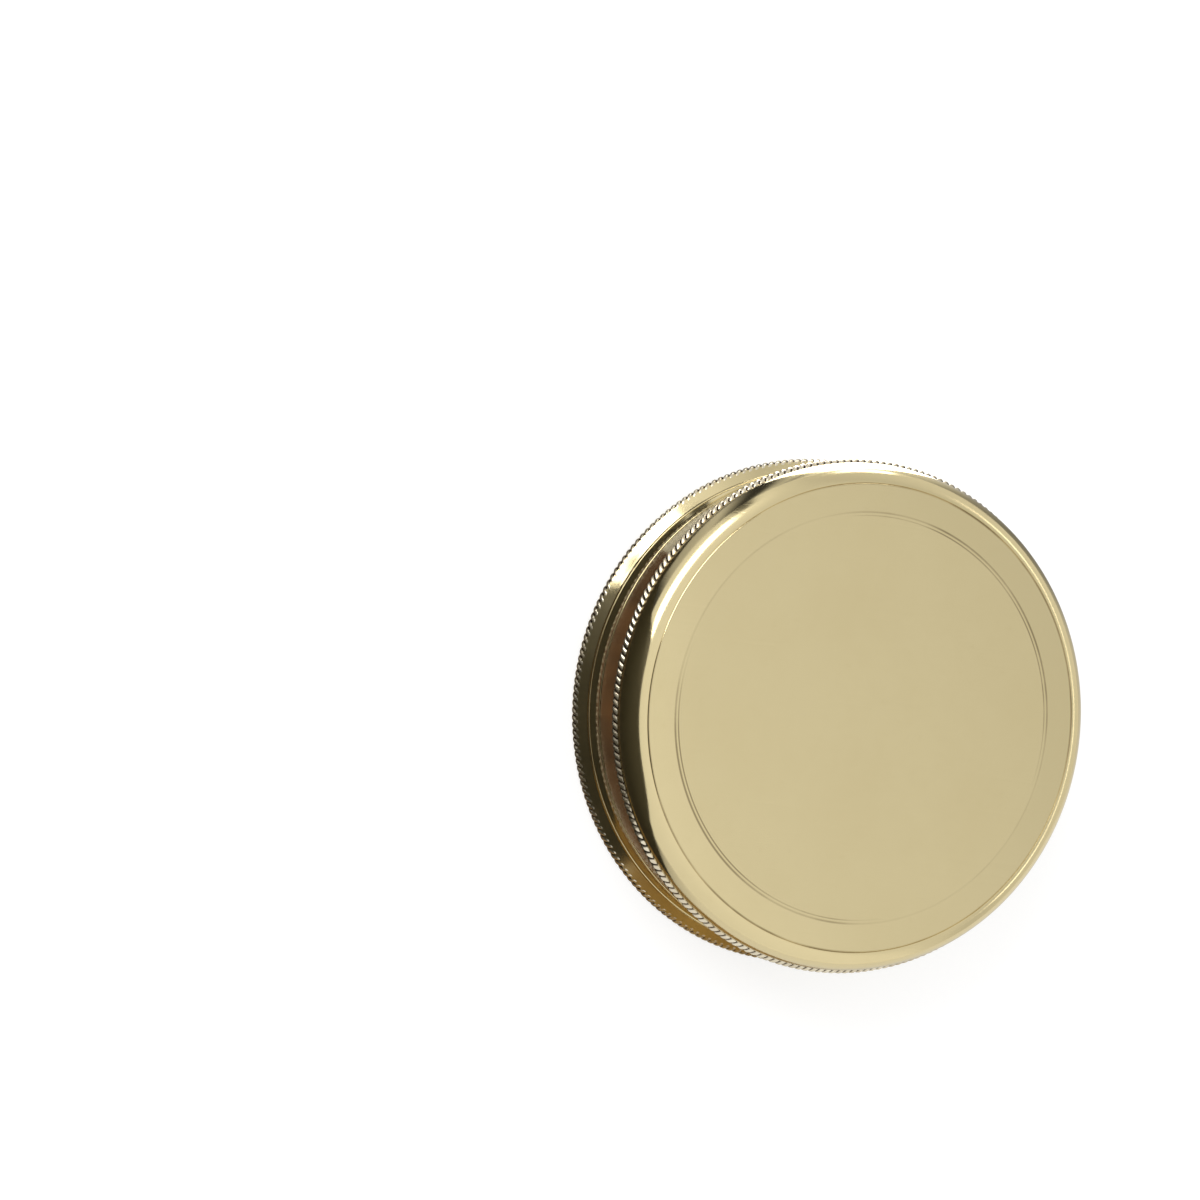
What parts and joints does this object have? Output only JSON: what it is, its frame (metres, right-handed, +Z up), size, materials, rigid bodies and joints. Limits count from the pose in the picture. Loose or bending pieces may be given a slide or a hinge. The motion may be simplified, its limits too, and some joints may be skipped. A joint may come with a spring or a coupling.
{
  "type": "calendar compass",
  "caption": "Round brass pocket compass, closed, with a screw-on lid, knurled grip rings, a needle on a pivot under glass and a turning calendar under the foot.",
  "frame": {"origin": "middle of the foot's underside, where the closed compass lies on a table", "axes": "+Z up along the compass's own axis, from the foot to the lid's face; +Y to the north mark of the dial, +X to the east mark"},
  "size_m": [0.076, 0.076, 0.0211],
  "materials": {
    "case_brass": "polished, lightly aged",
    "lid_brass": "polished, fine satin on the face",
    "small_brass": "turned",
    "calendar_brass": "fine circular brushing",
    "dial_silver": "silvered, matt",
    "needle_steel": "blued at the north end, bright at the south",
    "bright_steel": "bright",
    "jewel": "polished stone",
    "gasket": "matt black",
    "glass": "clear, flat"
  },
  "bodies": {
    "case": {"case_body": "case_brass", "dial_plate": "dial_silver", "degree_ring": "dial_silver", "dial_screw_1": "small_brass", "dial_screw_2": "small_brass", "dial_screw_3": "small_brass", "pivot_post": "small_brass", "pivot_point": "bright_steel", "glass_gasket": "gasket", "glass": "glass", "glass_ring": "case_brass", "calendar_plate": "calendar_brass", "calendar_screw_1": "small_brass", "calendar_screw_2": "small_brass", "calendar_screw_3": "small_brass", "calendar_screw_4": "small_brass", "calendar_washer": "bright_steel", "calendar_rivet": "small_brass"},
    "lid": {"lid_shell": "lid_brass"},
    "needle": {"needle_blade": "needle_steel", "needle_hub": "small_brass", "hub_jewel": "jewel", "balance_weight": "small_brass"},
    "calendar": {"calendar_disc": "calendar_brass", "calendar_peg": "small_brass"}
  },
  "joints": [
    {"name": "lid_lift", "type": "slide", "parent": "case", "child": "lid", "axis": [0, 0, 1], "range_m": [0, 0.06]},
    {"name": "needle_spin", "type": "hinge", "parent": "case", "child": "needle", "pos_m": [0, 0, 0.0107], "axis": [0, 0, 1], "continuous": true},
    {"name": "calendar_turn", "type": "hinge", "parent": "case", "child": "calendar", "pos_m": [0, 0, 0.0018], "axis": [0, 0, 1], "continuous": true}
  ]
}
